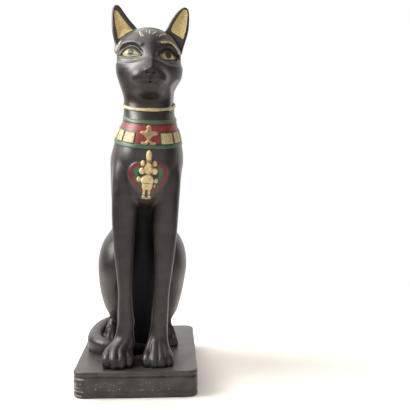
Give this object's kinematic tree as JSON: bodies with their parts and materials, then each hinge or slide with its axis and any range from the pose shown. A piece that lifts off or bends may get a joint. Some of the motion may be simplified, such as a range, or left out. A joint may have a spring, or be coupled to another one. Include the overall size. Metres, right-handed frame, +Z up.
{
  "type": "bastet cat figure",
  "caption": "Seated temple cat with upright ears, choker, jewelled collar and chest pendant, tail curled round its paws, cast in one with a low rounded plinth.",
  "frame": {"origin": "centre of the plinth's underside, on the surface the figure stands on", "axes": "+Z up, -Y out of the cat's face and the front of the plinth, +X to the right as seen by a viewer facing the cat"},
  "size_m": [0.093, 0.138, 0.3013],
  "materials": {
    "painted_resin": "black-brown painted cast resin with a low satin sheen, gold, red and green hand painting on the ears, eyes, collar and pendant"
  },
  "bodies": {
    "root": {"bastet_cat_figure": "painted_resin"}
  },
  "joints": []
}
